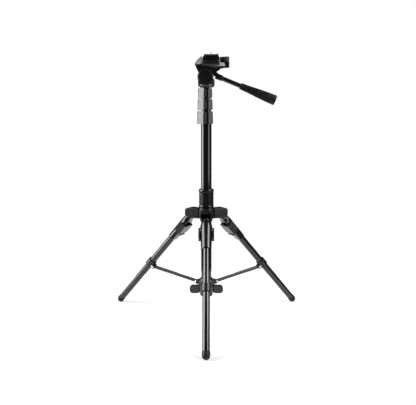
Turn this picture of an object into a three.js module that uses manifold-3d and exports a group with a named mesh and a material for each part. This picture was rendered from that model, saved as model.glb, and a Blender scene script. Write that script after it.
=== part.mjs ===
// Compact telescopic tripod with a pan-and-tilt head, in millimetres.
// The column stands along +Z over the floor at z = 0. One leg points to -Y and two to the rear,
// and the handle of the head points to +X. COLUMN_Y moves the column so that the footprint is
// centred on the origin.
import * as THREE from "three";
import { mergeVertices } from "three/addons/utils/BufferGeometryUtils.js";
import Module from "manifold-3d";

const wasm = await Module();
wasm.setup();

// ---- Driving dimensions -------------------------------------------------------------------
const COLUMN_Y = 66.16;
const GAP = 0.3;
const ROUND = 24;
const MIDDLE_ROUND = 16;
const SMALL_ROUND = 8;

// Column: four nested tubes, outermost first.
const TUBE_RADII = [12.5, 10.9, 9.3, 7.7];
const TUBE_WALL = 1.2;
const TUBE_BOTTOMS = [59.7, 77, 92, 107];
const TUBE_TOPS = [497.5, 525, 550, 557];

// Collars: one clamps each moving tube, lowest first.
const COLLARS = [
  { bottom: 472.9, top: 502.7, radius: 15.2, taper: 0.7 },
  { bottom: 505.5, top: 530.5, radius: 14.2, taper: 0.6 },
  { bottom: 532.6, top: 555.9, radius: 13.1, taper: 0.5 },
];
const COLLAR_LEVER_THICK = 3.4;
const COLLAR_LEVER_SHIFT = -2;
const COLLAR_LEVER_ARC = { from: -200, to: -84, clear: 1, inset: 0.6 };
const COLLAR_PIN = { azimuth: 157, outside: 3.9, radius: 1.6, knuckle: 3.6 };

// Shoulder, which slides on the column, and the twist sleeve over it.
const SHOULDER = { bottom: 247.6, top: 271, ringTop: 273, radius: 21, reach: 52.4 };
const ARM_HALF = 14.3;
const ARM_SLOT_HALF = 10.1;
const ARM_ROOF_REACH = 33;
const ARM_ROOF = 3.8;
const SLEEVE = { bottom: 273.5, top: 318.8, radius: 17.9 };

// Legs: the pivot is on the shoulder, distances along the leg start at the pivot.
const LEG_AZIMUTHS = [-90, 30, 150];
const PIVOT = { r: 43, z: 253.2 };
const LEG_ANGLE = 42.19;
const LEG_TUBE_RADIUS = 8.2;
const LEG_TUBE = { from: 40, to: 326 };
const FOOT = { from: 306, centre: 330, radius: 9.4 };
const BRACKET = { from: 35, to: 83, half: 13, thickHalf: 10, corner: 7, knuckleHalf: 9.7 };
const PIVOT_KNUCKLE_RADIUS = 8.5;
const PIVOT_PIN_RADIUS = 2.5;
const LEG_LEVER = { hinge: 57, depth: 13.3, wingFrom: 36, wingTo: 52, tip: 25, half: 17.6, eye: 2.9 };
const LEG_LEVER_PIN_RADIUS = 1.5;

// Braces: rivet on the leg, pin on the bottom hub.
const RIVET = { along: 182.2, depth: 12.8 };
const HUB_PIN = { r: 25.6, z: 88.6 };
const BRACE = { half: 3.4, halfHeight: 3.9, eye: 4.3 };
const BRACE_RING = { from: 171, to: 190, radius: 10.9 };
const RIVET_RADIUS = 2;
const EAR = { inner: 3.8, outer: 6.8, radius: 5.3 };

// Bottom hub, wing nut and end cap.
const HUB = { bottom: 83.2, top: 101, radius: 18, spigot: 14.6, spigotBottom: 67.6 };
const WING = { bottom: 62.2, top: 82.6, ringBottom: 68, radius: 20, span: 41, half: 5 };
const CAP = { bottom: 55.9, top: 67.2, radius: 15.3, floor: 3.4 };

// Head: the tilt axis runs along Y.
const TILT = { x: -2, z: 581.1 };
const DRUM = { radius: 18.6, half: 12 };
const BASE = { bottom: 557.4, wide: 560.8, top: 564.2, radius: 19.5, foot: 14.6 };
const SKIRT = { inner: 12.4, outer: 17 };
const COVER = { radius: 16.4, front: 24, rear: 21 };
const AXLE_RADIUS = 4;
const PLATFORM = {
  bottom: 601, widest: 609.5, top: 621.6, front: -27.5, rear: 31, tail: 53.6, half: 22, nose: 8,
};
const WELL = { from: -6, to: 27, half: 12, floor: 610 };
const TAIL = { bottom: 603.2, top: 614.2, half: 14 };
const PLATE = { x0: -9.5, x1: 31, bottom: 622, top: 628, half: 20 };
const PAD = { x0: -5.5, x1: 25, top: 632 };
const SCREW = { x: 10.8, radius: 3.1, top: 638, head: 7 };
const RELEASE = { x: 38, bottom: 614.6, top: 625.6, reach: 53.4, half: 12, hub: 6.4, pin: 4.5 };

// Handle: its line starts at the socket and falls towards +X.
const HANDLE = { x: 22, z: 584.4, angle: 22.2, rod: 5, rodFrom: 9, gripFrom: 62, to: 151.5 };
const GRIP_RADII = [7.6, 8.4, 10.2, 11.6, 11.9];
const SOCKET = { half: 6.5, to: 8.6 };

// ---- Solids ---------------------------------------------------------------------------------
const radians = THREE.MathUtils.degToRad;

// A closed three.js geometry as a solid for joining and cutting.
function solid(geometry) {
  const bare = geometry.index ? geometry.toNonIndexed() : geometry.clone();
  bare.deleteAttribute("normal");
  bare.deleteAttribute("uv");
  const merged = mergeVertices(bare, 1e-4);
  const triVerts = new Uint32Array(merged.index.array);
  const vertProperties = merged.attributes.position.array;
  const made = new wasm.Manifold(new wasm.Mesh({ numProp: 3, vertProperties, triVerts }));
  if (made.volume() > 0) return made;
  for (let i = 0; i < triVerts.length; i += 3) triVerts.subarray(i, i + 3).reverse();
  return new wasm.Manifold(new wasm.Mesh({ numProp: 3, vertProperties, triVerts }));
}

function joined(...parts) {
  return parts.reduce((a, b) => a.add(b));
}

function cut(body, ...tools) {
  return tools.reduce((a, b) => a.subtract(b), body);
}

function box(x0, x1, y0, y1, z0, z1) {
  const g = new THREE.BoxGeometry(x1 - x0, y1 - y0, z1 - z0);
  return solid(g.translate((x0 + x1) / 2, (y0 + y1) / 2, (z0 + z1) / 2));
}

// A solid of revolution about Z from [radius, height] points. The outline ends on the axis, or
// closes on itself when it encloses a bore.
function turned(outline, segments = ROUND) {
  const points = outline.map(([r, z]) => new THREE.Vector2(r, z));
  const onAxis = outline[0][0] === 0 && outline[outline.length - 1][0] === 0;
  if (!onAxis) points.push(points[0].clone());
  return solid(new THREE.LatheGeometry(points, segments).rotateX(Math.PI / 2));
}

function ring(inner, outer, z0, z1, segments = ROUND) {
  return turned([[inner, z0], [outer, z0], [outer, z1], [inner, z1]], segments);
}

// A round bar along x, y or z, from one coordinate to another, through the point (a, b) of the
// other two coordinates in their usual order.
function bar(axis, radius, from, to, a = 0, b = 0, segments = SMALL_ROUND) {
  const g = new THREE.CylinderGeometry(radius, radius, to - from, segments);
  const middle = (from + to) / 2;
  if (axis === "x") return solid(g.rotateZ(Math.PI / 2).translate(middle, a, b));
  if (axis === "y") return solid(g.translate(a, middle, b));
  return solid(g.rotateX(Math.PI / 2).translate(a, b, middle));
}

// A flat piece: an outline in the XZ plane, thick from y0 to y1.
function slab(shape, y0, y1, curveSegments = 5) {
  const g = new THREE.ExtrudeGeometry(shape, { depth: y1 - y0, bevelEnabled: false, curveSegments });
  return solid(g.rotateX(Math.PI / 2).translate(0, y1, 0));
}

// An outline in the XY plane, raised from z0 to z1.
function raised(shape, z0, z1, curveSegments = 5) {
  const g = new THREE.ExtrudeGeometry(shape, { depth: z1 - z0, bevelEnabled: false, curveSegments });
  return solid(g.translate(0, 0, z0));
}

function polygon(...points) {
  return new THREE.Shape(points.map(([x, y]) => new THREE.Vector2(x, y)));
}

// A rectangle with round corners, centred on the origin.
function roundRectangle(halfX, halfY, corner) {
  const s = new THREE.Shape();
  s.absarc(halfX - corner, halfY - corner, corner, 0, Math.PI / 2);
  s.absarc(corner - halfX, halfY - corner, corner, Math.PI / 2, Math.PI);
  s.absarc(corner - halfX, corner - halfY, corner, Math.PI, Math.PI * 1.5);
  s.absarc(halfX - corner, corner - halfY, corner, Math.PI * 1.5, Math.PI * 2);
  return s;
}

// ---- Materials ------------------------------------------------------------------------------
const FINISHES = {
  tube: { color: 0x141517, roughness: 0.22, metalness: 0.6 },
  plastic: { color: 0x1b1c1e, roughness: 0.45, metalness: 0 },
  satin: { color: 0x3a3c3e, roughness: 0.35, metalness: 0.1 },
  rubber: { color: 0x101010, roughness: 0.8, metalness: 0 },
  steel: { color: 0xc4c6c8, roughness: 0.25, metalness: 1 },
  cork: { color: 0x6b5440, roughness: 0.9, metalness: 0 },
};

function piece(parent, name, body, finish) {
  const made = body.getMesh();
  const g = new THREE.BufferGeometry();
  g.setAttribute("position", new THREE.BufferAttribute(Float32Array.from(made.vertProperties), 3));
  g.setIndex(new THREE.BufferAttribute(Uint32Array.from(made.triVerts), 1));
  const mesh = new THREE.Mesh(g, new THREE.MeshStandardMaterial(FINISHES[finish]));
  mesh.name = name;
  parent.add(mesh);
}

// ---- Column ---------------------------------------------------------------------------------
function columnTubes(parent) {
  const names = ["main_tube", "stage_2_tube", "stage_3_tube", "stage_4_tube"];
  names.forEach((name, i) => {
    const r = TUBE_RADII[i];
    piece(parent, name, ring(r - TUBE_WALL, r, TUBE_BOTTOMS[i], TUBE_TOPS[i]), "tube");
  });
}

// Where a collar's hinge pin stands, just outside its body.
function collarPinAt(radius) {
  const a = radians(COLLAR_PIN.azimuth);
  const reach = radius + COLLAR_PIN.outside;
  return { x: reach * Math.cos(a), y: reach * Math.sin(a) };
}

// A curved lever plate round the front left of the collar, with its knuckle on the hinge pin.
function collarLever({ bottom, top, radius }) {
  const { from, to, clear, inset } = COLLAR_LEVER_ARC;
  const inner = radius + clear;
  const outer = inner + COLLAR_LEVER_THICK;
  const start = radians(from);
  const end = radians(to);
  const s = new THREE.Shape();
  s.absarc(COLLAR_LEVER_SHIFT, 0, outer, start, end, false);
  s.absarc(COLLAR_LEVER_SHIFT, 0, inner, end, start, true);
  const plate = raised(s, bottom + inset, top - inset, 9);
  const { knuckle } = COLLAR_PIN;
  const { x, y } = collarPinAt(radius);
  const third = (top - bottom) / 3;
  const eye = bar("z", knuckle, bottom + third, top - third, x, y);
  const relief = [
    bar("z", knuckle + 0.8, bottom - 1, bottom + third, x, y),
    bar("z", knuckle + 0.8, top - third, top + 1, x, y),
  ];
  const hole = bar("z", COLLAR_PIN.radius + GAP, bottom - 1, top + 1, x, y);
  const collarRoom = bar("z", radius + inset, bottom - 1, top + 1, 0, 0, ROUND);
  return cut(joined(plate, eye), ...relief, hole, collarRoom);
}

// The collar's body grips one tube from outside and guides the next one with its top lip.
function collarBody({ bottom, top, radius, taper }, tubeRadius, nextRadius, tubeTop) {
  const bore = tubeRadius + GAP;
  const lip = nextRadius + GAP;
  const seat = tubeTop + GAP;
  const body = turned([
    [bore, bottom], [radius - 1, bottom], [radius, bottom + 1], [radius - taper, top - 1.2],
    [radius - taper - 1.2, top], [lip, top], [lip, seat], [bore, seat],
  ]);
  const { knuckle } = COLLAR_PIN;
  const { x, y } = collarPinAt(radius);
  const third = (top - bottom) / 3;
  const webLeft = 4 - radius;
  const webBack = radius - 2.5;
  const web = polygon([x, y + knuckle], [x, y - knuckle], [webLeft, 0], [-5, webBack]);
  const lugs = [[bottom, bottom + third - GAP], [top - third + GAP, top]].map(([z0, z1]) =>
    joined(bar("z", knuckle, z0, z1, x, y), raised(web, z0, z1)),
  );
  const tube = bar("z", bore, bottom - 1, seat, 0, 0, ROUND);
  const next = bar("z", lip, bottom - 1, top + 1, 0, 0, ROUND);
  const hole = bar("z", COLLAR_PIN.radius + GAP, bottom - 1, top + 1, x, y);
  return cut(joined(body, ...lugs), tube, next, hole);
}

function collars(parent) {
  COLLARS.forEach((c, i) => {
    const n = i + 1;
    const body = collarBody(c, TUBE_RADII[i], TUBE_RADII[i + 1], TUBE_TOPS[i]);
    const { x, y } = collarPinAt(c.radius);
    const pin = bar("z", COLLAR_PIN.radius, c.bottom, c.top, x, y);
    piece(parent, `collar_${n}`, body, "plastic");
    piece(parent, `collar_${n}_lever`, collarLever(c), "satin");
    piece(parent, `collar_${n}_pin`, pin, "steel");
  });
}

// ---- Shoulder and twist sleeve --------------------------------------------------------------
function armOutline() {
  const { bottom, top, reach } = SHOULDER;
  const corner = 7;
  const s = new THREE.Shape();
  s.moveTo(14, bottom);
  s.lineTo(reach - 9, bottom - 0.6);
  s.lineTo(reach, bottom + 6);
  s.lineTo(reach, top - corner);
  s.absarc(reach - corner, top - corner, corner, 0, Math.PI / 2);
  s.lineTo(14, top);
  return s;
}

// Each arm is a fork: two cheeks with a short roof between them at the ring.
function shoulderArm() {
  const { top, radius } = SHOULDER;
  const cheeks = [-1, 1].map((side) => {
    const y = [side * ARM_SLOT_HALF, side * ARM_HALF].sort((a, b) => a - b);
    return slab(armOutline(), ...y);
  });
  const roof = box(radius - 4, ARM_ROOF_REACH, -ARM_SLOT_HALF, ARM_SLOT_HALF, top - ARM_ROOF, top);
  return joined(...cheeks, roof);
}

function turnedAbout(body, degrees) {
  return body.rotate([0, 0, degrees]);
}

function shoulder(parent) {
  const { bottom, ringTop, radius } = SHOULDER;
  const tube = TUBE_RADII[0] + GAP;
  const hub = turned([
    [5, bottom], [radius, bottom], [radius, ringTop - 3], [radius - 2.5, ringTop], [5, ringTop],
  ]);
  const arms = LEG_AZIMUTHS.map((a) => turnedAbout(shoulderArm(), a));
  const bore = bar("z", tube, bottom - 2, ringTop + 1, 0, 0, ROUND);
  piece(parent, "shoulder", cut(joined(hub, ...arms), bore), "plastic");
}

function twistSleeve(parent) {
  const { bottom, top, radius } = SLEEVE;
  const bore = TUBE_RADII[0] + GAP;
  const body = turned([
    [bore, bottom], [radius - 0.8, bottom], [radius, bottom + 2], [radius, top - 4],
    [radius - 0.9, top - 1.5], [radius - 3, top], [bore, top],
  ]);
  piece(parent, "lock_sleeve", body, "plastic");
}

// ---- Bottom hub -----------------------------------------------------------------------------
// The clevis ears that hold one brace eye, on the hub's side.
function hubEars() {
  const { r, z } = HUB_PIN;
  const outline = new THREE.Shape();
  outline.moveTo(14, HUB.top - 5);
  outline.lineTo(14, z - EAR.radius);
  outline.absarc(r, z, EAR.radius, -Math.PI / 2, Math.PI / 2);
  return [-1, 1].map((side) => {
    const y = [side * EAR.inner, side * EAR.outer].sort((a, b) => a - b);
    return slab(outline, ...y);
  });
}

function bottomHub(parent) {
  const { bottom, top, radius, spigot, spigotBottom } = HUB;
  const tube = TUBE_RADII[0] + GAP;
  const body = turned([
    [tube, spigotBottom], [spigot, spigotBottom], [spigot, bottom], [radius, bottom],
    [radius, top - 5], [radius - 3.5, top], [tube, top],
  ]);
  const ears = LEG_AZIMUTHS.flatMap((a) => hubEars().map((ear) => turnedAbout(ear, a)));
  const bore = bar("z", tube, spigotBottom - 1, top + 1, 0, 0, ROUND);
  const holes = LEG_AZIMUTHS.map((a) =>
    turnedAbout(bar("y", RIVET_RADIUS + GAP, -8, 8, HUB_PIN.r, HUB_PIN.z), a),
  );
  piece(parent, "hub_body", cut(joined(body, ...ears), bore, ...holes), "plastic");
}

function wingNut(parent) {
  const { bottom, top, ringBottom, radius, span, half } = WING;
  const body = ring(10, radius, ringBottom, top);
  const wings = [1, -1].map((side) => {
    const s = new THREE.Shape();
    s.moveTo(side * 16, bottom + 1);
    s.lineTo(side * (span - 8), bottom);
    s.lineTo(side * (span - 1), bottom + 6);
    s.lineTo(side * span, top - 7);
    s.lineTo(side * (span - 5), top - 2);
    s.lineTo(side * 16, top);
    return slab(s, -half, half);
  });
  const spigot = bar("z", HUB.spigot + GAP, ringBottom - 1, top + 1, 0, 0, ROUND);
  const cap = bar("z", CAP.radius + 0.5, bottom - 1, ringBottom, 0, 0, ROUND);
  piece(parent, "wing_nut", cut(joined(body, ...wings), spigot, cap), "plastic");
}

function endCap(parent) {
  const { bottom, top, radius, floor } = CAP;
  const bore = TUBE_RADII[0] + GAP;
  const body = turned([
    [0, bottom], [radius - 2.5, bottom], [radius, bottom + 2.5], [radius, top], [bore, top],
    [bore, bottom + floor], [0, bottom + floor],
  ]);
  piece(parent, "end_cap", body, "rubber");
}

// A rivet across the clevis, with a head on each side.
function rivet(x, z) {
  const half = EAR.outer + GAP;
  const shank = bar("y", RIVET_RADIUS, -half - 1, half + 1, x, z);
  const heads = [-1, 1].map((side) => {
    const y = [side * half, side * (half + 2)].sort((a, b) => a - b);
    return bar("y", 3.7, ...y, x, z);
  });
  return joined(shank, ...heads);
}

// ---- Legs -----------------------------------------------------------------------------------
// In a leg's own frame X runs down the leg from the pivot, -Z is the side facing the column.
function bracket() {
  const { from, to, half, thickHalf, corner, knuckleHalf } = BRACKET;
  const section = roundRectangle(thickHalf, half, corner);
  const sleeve = solid(
    new THREE.ExtrudeGeometry(section, { depth: to - from, bevelEnabled: false, curveSegments: 4 })
      .rotateY(Math.PI / 2)
      .translate(from, 0, 0),
  );
  const knuckle = bar("y", PIVOT_KNUCKLE_RADIUS, -knuckleHalf, knuckleHalf, 0, 0, MIDDLE_ROUND);
  const neck = box(0, from + 1, -knuckleHalf, knuckleHalf, -8, PIVOT_KNUCKLE_RADIUS);
  const { hinge, depth } = LEG_LEVER;
  const lugs = [-1, 1].map((side) => {
    const y = [side * 8, side * 11].sort((a, b) => a - b);
    const eye = bar("y", LEG_LEVER.eye, ...y, hinge, -depth);
    return joined(eye, box(hinge - LEG_LEVER.eye, hinge + LEG_LEVER.eye, ...y, -depth, -5));
  });
  const tube = bar("x", LEG_TUBE_RADIUS + GAP, LEG_TUBE.from - 1, to + 1, 0, 0, MIDDLE_ROUND);
  const pivot = bar("y", PIVOT_PIN_RADIUS + GAP, -half, half, 0, 0);
  const pin = bar("y", LEG_LEVER_PIN_RADIUS + GAP, -half - 1, half + 1, hinge, -depth);
  return cut(joined(sleeve, knuckle, neck, ...lugs), tube, pivot, pin);
}

// The clamp lever: a plate on the inner side of the bracket with a wing down each side. Its
// finger points up the leg and passes between the cheeks of the shoulder arm as the legs fold.
function legLever() {
  const { hinge, depth, wingFrom, wingTo, tip, half, eye } = LEG_LEVER;
  const inner = -BRACKET.thickHalf - 0.6;
  const outer = inner - 3.4;
  const wingInner = BRACKET.half + 0.5;
  const fingerHalf = 7.6;
  const knuckle = bar("y", eye, -fingerHalf, fingerHalf, hinge, -depth);
  const spine = box(tip + 2, hinge, -fingerHalf, fingerHalf, outer, inner);
  const lip = bar("y", 2.4, -fingerHalf, fingerHalf, tip + 2, outer + 1.2);
  const bridge = box(wingFrom, wingTo, -half, half, outer, inner);
  const wings = [-1, 1].map((side) => {
    const y = [side * wingInner, side * half].sort((a, b) => a - b);
    const outline = polygon(
      [wingFrom, inner - 0.5], [wingTo, inner - 0.5], [wingTo, -1], [wingTo - 4, 4],
      [wingFrom + 2, 4], [wingFrom, 2],
    );
    return slab(outline, ...y);
  });
  const hole = bar("y", LEG_LEVER_PIN_RADIUS + GAP, -9, 9, hinge, -depth);
  return cut(joined(knuckle, spine, lip, bridge, ...wings), hole);
}

function braceRing() {
  const { from, to, radius } = BRACE_RING;
  const band = bar("x", radius, from, to, 0, 0, MIDDLE_ROUND);
  const { along, depth } = RIVET;
  const outline = new THREE.Shape();
  outline.moveTo(along - 7, -4);
  outline.absarc(along, -depth, EAR.radius - 0.6, Math.PI, Math.PI * 2);
  outline.lineTo(along + 7, -4);
  const ears = [-1, 1].map((side) => {
    const y = [side * EAR.inner, side * EAR.outer].sort((a, b) => a - b);
    return slab(outline, ...y);
  });
  const tube = bar("x", LEG_TUBE_RADIUS + GAP, from - 1, to + 1, 0, 0, MIDDLE_ROUND);
  const slot = box(along - 6, to + 1, -EAR.inner, EAR.inner, -depth - 8, -2);
  const hole = bar("y", RIVET_RADIUS + GAP, -9, 9, along, -depth);
  return cut(joined(band, ...ears), tube, slot, hole);
}

// A rubber foot with a round end, cut flat where it stands on the floor.
function foot() {
  const { from, centre, radius } = FOOT;
  const outline = [[LEG_TUBE_RADIUS + GAP, from], [radius - 0.6, from], [radius, from + 1.5]];
  for (let i = 0; i < 4; i += 1) {
    const a = (i * Math.PI) / 8;
    outline.push([radius * Math.cos(a), centre + radius * Math.sin(a)]);
  }
  const inside = LEG_TUBE.to + GAP;
  outline.push([0, centre + radius], [0, inside], [LEG_TUBE_RADIUS + GAP, inside]);
  const points = outline.map(([r, x]) => new THREE.Vector2(r, x));
  points.push(points[0].clone());
  const body = solid(new THREE.LatheGeometry(points, MIDDLE_ROUND).rotateZ(-Math.PI / 2));
  const rise = radians(90 - LEG_ANGLE);
  const reach = PIVOT.z / Math.sin(rise);
  const floor = box(-60, 60, -30, 30, -60, 0).rotate([0, -90 + LEG_ANGLE, 0]);
  return cut(body, floor.translate([reach, 0, 0]));
}

function leg(parent, azimuth, n) {
  const frame = new THREE.Group();
  frame.rotation.z = radians(azimuth);
  parent.add(frame);
  const limb = new THREE.Group();
  limb.position.set(PIVOT.r, 0, PIVOT.z);
  limb.rotation.y = radians(90 - LEG_ANGLE);
  frame.add(limb);
  const { hinge, depth } = LEG_LEVER;
  const r = LEG_TUBE_RADIUS;
  const tube = cut(
    bar("x", r, LEG_TUBE.from, LEG_TUBE.to, 0, 0, MIDDLE_ROUND),
    bar("x", r - TUBE_WALL, LEG_TUBE.from - 1, LEG_TUBE.to + 1, 0, 0, MIDDLE_ROUND),
  );
  const half = BRACKET.knuckleHalf;
  const leverPin = bar("y", LEG_LEVER_PIN_RADIUS, -13, 13, hinge, -depth);
  piece(limb, `leg_${n}_bracket`, bracket(), "plastic");
  piece(limb, `leg_${n}_pivot_pin`, bar("y", PIVOT_PIN_RADIUS, -half, half), "steel");
  piece(limb, `leg_${n}_lever`, legLever(), "satin");
  piece(limb, `leg_${n}_lever_pin`, leverPin, "steel");
  piece(limb, `leg_${n}_tube`, tube, "tube");
  piece(limb, `leg_${n}_foot`, foot(), "rubber");
  piece(limb, `leg_${n}_brace_ring`, braceRing(), "plastic");
  piece(limb, `leg_${n}_rivet`, rivet(RIVET.along, -RIVET.depth), "steel");
  piece(frame, `hub_pin_${n}`, rivet(HUB_PIN.r, HUB_PIN.z), "steel");
  brace(frame, n);
}

// The brace runs from the hub pin to the rivet on the leg.
function brace(frame, n) {
  const lean = radians(LEG_ANGLE);
  const outer = {
    r: PIVOT.r + RIVET.along * Math.sin(lean) - RIVET.depth * Math.cos(lean),
    z: PIVOT.z - RIVET.along * Math.cos(lean) - RIVET.depth * Math.sin(lean),
  };
  const rise = outer.z - HUB_PIN.z;
  const run = outer.r - HUB_PIN.r;
  const length = Math.hypot(rise, run);
  const arm = new THREE.Group();
  arm.position.set(HUB_PIN.r, 0, HUB_PIN.z);
  arm.rotation.y = -Math.atan2(rise, run);
  frame.add(arm);
  const { half, halfHeight, eye } = BRACE;
  const body = joined(
    box(0, length, -half, half, -halfHeight, halfHeight),
    bar("y", eye, -half, half, 0, 0, MIDDLE_ROUND),
    bar("y", eye, -half, half, length, 0, MIDDLE_ROUND),
  );
  const holes = [0, length].map((x) => bar("y", RIVET_RADIUS + GAP, -half - 1, half + 1, x, 0));
  piece(arm, `brace_${n}`, cut(body, ...holes), "tube");
}

// ---- Head -----------------------------------------------------------------------------------
// The pan base turns on the top tube and carries the drum that the head tilts on.
function panBase(parent) {
  const { bottom, wide, top, radius, foot: footRadius } = BASE;
  const socket = TUBE_RADII[3] + GAP;
  const base = turned([
    [0, bottom], [footRadius, bottom], [radius, wide], [radius, top], [0, top],
  ]);
  const drum = bar("y", DRUM.radius, -DRUM.half, DRUM.half, TILT.x, TILT.z, ROUND);
  const neck = box(TILT.x - 15, TILT.x + 15, -DRUM.half, DRUM.half, top - 1, TILT.z);
  const bore = bar("z", socket, bottom - 1, TUBE_TOPS[3] + 2, 0, 0, MIDDLE_ROUND);
  const axle = bar("y", AXLE_RADIUS + GAP, -30, 30, TILT.x, TILT.z, MIDDLE_ROUND);
  piece(parent, "pan_base", cut(joined(base, drum, neck), bore, axle), "satin");
  const length = SKIRT.outer;
  const pin = bar("y", AXLE_RADIUS, -length, length, TILT.x, TILT.z, MIDDLE_ROUND);
  piece(parent, "tilt_axle", pin, "steel");
}

// A skirt plate on one side of the drum, from the platform down round the tilt axis.
function skirt(side) {
  const { x, z } = TILT;
  const s = new THREE.Shape();
  const rear = x + 21;
  const top = PLATFORM.top - 6;
  s.moveTo(PLATFORM.front, PLATFORM.widest);
  s.lineTo(x - COVER.radius, z + 10);
  s.absarc(x, z, COVER.radius, Math.PI * 0.9, Math.PI * 2.08);
  s.lineTo(rear, PLATFORM.bottom + 1);
  s.lineTo(rear, top);
  s.lineTo(PLATFORM.front, top);
  const y = [side * SKIRT.inner, side * SKIRT.outer].sort((a, b) => a - b);
  return slab(s, ...y, 12);
}

function tiltBody(parent) {
  const { bottom, widest, top, front, rear, tail, half, nose } = PLATFORM;
  const profile = polygon(
    [front, widest], [front + nose, bottom - 0.4], [rear, bottom], [rear, TAIL.bottom], [tail, TAIL.bottom],
    [tail, TAIL.top], [rear, TAIL.top], [rear, top], [front + nose + 0.5, top],
  );
  const block = slab(profile, -half, half);
  const taper = [-1, 1].map((side) => {
    const s = polygon(
      [front - 2, side * 12], [front + 14, side * (half + 1)], [front - 2, side * (half + 1)],
    );
    return raised(s, bottom - 10, top + 10);
  });
  const tailCuts = [-1, 1].map((side) => {
    const y = [side * TAIL.half, side * (half + 1)].sort((a, b) => a - b);
    return box(rear - 2, tail + 1, ...y, bottom - 10, top + 10);
  });
  const axle = bar("y", AXLE_RADIUS + GAP, -30, 30, TILT.x, TILT.z, MIDDLE_ROUND);
  const well = box(WELL.from, WELL.to, -WELL.half, WELL.half, WELL.floor, top + 1);
  const body = cut(block, ...taper, ...tailCuts, well);
  const bossHalf = SOCKET.half + 2;
  const bossFrom = TILT.x + DRUM.radius + 1;
  const boss = box(bossFrom, HANDLE.x + 5, -bossHalf, bossHalf, TILT.z + 2, bottom + 1);
  const seat = SOCKET.half + GAP;
  const socket = box(-GAP, SOCKET.to + 12, -seat, seat, -seat, seat)
    .rotate([0, HANDLE.angle, 0])
    .translate([HANDLE.x, 0, HANDLE.z]);
  const pinFrom = RELEASE.bottom - 8.6;
  const pivot = bar("z", RELEASE.pin + GAP, pinFrom, pinFrom + 10, RELEASE.x, 0, MIDDLE_ROUND);
  const drum = bar("y", DRUM.radius + 0.6, -DRUM.half - 0.4, DRUM.half + 0.4, TILT.x, TILT.z, ROUND);
  const whole = cut(joined(body, skirt(1), skirt(-1), boss), axle, pivot, drum, socket);
  piece(parent, "tilt_body", whole, "plastic");
  const from = SKIRT.outer + GAP;
  const dish = (reach) =>
    joined(
      bar("y", COVER.radius, from, reach - 1.5, TILT.x, TILT.z, ROUND),
      bar("y", COVER.radius - 1.6, reach - 1.6, reach, TILT.x, TILT.z, ROUND),
    );
  const frontCover = dish(COVER.front).mirror([0, 1, 0]);
  piece(parent, "tilt_cover_front", frontCover, "rubber");
  piece(parent, "tilt_cover_rear", dish(COVER.rear), "rubber");
}

function releasePlate(parent) {
  const { x0, x1, bottom, top, half } = PLATE;
  const outline = polygon([x0, bottom], [x1, bottom], [x1 - 3, top], [x0 + 3.5, top]);
  const hole = bar("z", SCREW.radius + GAP, bottom - 1, top + 1, SCREW.x, 0);
  const recess = bar("z", SCREW.head + GAP, bottom - 1, bottom + 3, SCREW.x, 0, MIDDLE_ROUND);
  const lip = box(x1 - 6, x1 - 3, -half + 3, half - 3, top - 1, top + 5);
  const plate = cut(joined(slab(outline, -half, half), lip), hole, recess);
  piece(parent, "release_plate", plate, "plastic");
  const padHole = bar("z", SCREW.radius + GAP, top - 1, PAD.top + 1, SCREW.x, 0);
  const pad = box(PAD.x0, PAD.x1 - 0.4, -half + 3, half - 3, top + GAP, PAD.top);
  piece(parent, "plate_pad", cut(pad, padHole), "cork");
  const screw = turned(
    [
      [0, bottom - 4], [SCREW.head, bottom - 4], [SCREW.head, bottom + 2.6],
      [SCREW.radius, bottom + 2.6], [SCREW.radius, SCREW.top - 0.8],
      [SCREW.radius - 0.8, SCREW.top], [0, SCREW.top],
    ],
    MIDDLE_ROUND,
  ).translate([SCREW.x, 0, 0]);
  piece(parent, "camera_screw", screw, "steel");
}

function releaseLever(parent) {
  const { x, bottom, top, reach, half, pin } = RELEASE;
  const outline = new THREE.Shape();
  outline.absarc(x, 0, RELEASE.hub, Math.PI / 2, Math.PI * 1.5);
  outline.lineTo(x + 8, -half);
  outline.lineTo(reach, 2 - half);
  outline.lineTo(reach, half - 4);
  outline.lineTo(x + 8, half);
  const body = joined(
    raised(outline, bottom, top),
    bar("z", pin, bottom - 6, bottom + 1, x, 0, MIDDLE_ROUND),
  );
  piece(parent, "release_lever", body, "satin");
}

function handle(parent) {
  const limb = new THREE.Group();
  limb.position.set(HANDLE.x, 0, HANDLE.z);
  limb.rotation.y = radians(HANDLE.angle);
  parent.add(limb);
  const { rod, rodFrom, gripFrom, to } = HANDLE;
  const body = cut(
    joined(
      box(0, SOCKET.to + 4, -SOCKET.half, SOCKET.half, -SOCKET.half, SOCKET.half),
      bar("x", SOCKET.half, SOCKET.to + 2, SOCKET.to + 9, 0, 0, MIDDLE_ROUND),
    ),
    bar("x", rod + GAP, rodFrom, SOCKET.to + 20, 0, 0, MIDDLE_ROUND),
  );
  piece(limb, "handle_socket", body, "plastic");
  piece(limb, "handle_rod", bar("x", rod, rodFrom + GAP, to - 6, 0, 0, MIDDLE_ROUND), "tube");
  const bore = rod + GAP;
  const last = GRIP_RADII.length - 1;
  const outline = GRIP_RADII.map((radius, i) => [radius, gripFrom + ((to - gripFrom) * i) / last]);
  const grip = [[bore, gripFrom], ...outline, [0, to], [0, to - 5], [bore, to - 5]];
  const points = grip.map(([r, x]) => new THREE.Vector2(r, x));
  points.push(points[0].clone());
  const rubber = new THREE.LatheGeometry(points, MIDDLE_ROUND).rotateZ(-Math.PI / 2);
  piece(limb, "handle_grip", solid(rubber), "rubber");
}

// ---- Assembly -------------------------------------------------------------------------------
const tripod = new THREE.Group();
tripod.name = "tripod";
tripod.position.y = COLUMN_Y;
columnTubes(tripod);
collars(tripod);
shoulder(tripod);
twistSleeve(tripod);
bottomHub(tripod);
wingNut(tripod);
endCap(tripod);
LEG_AZIMUTHS.forEach((azimuth, i) => leg(tripod, azimuth, i + 1));
panBase(tripod);
tiltBody(tripod);
releasePlate(tripod);
releaseLever(tripod);
handle(tripod);

export default tripod;
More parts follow.
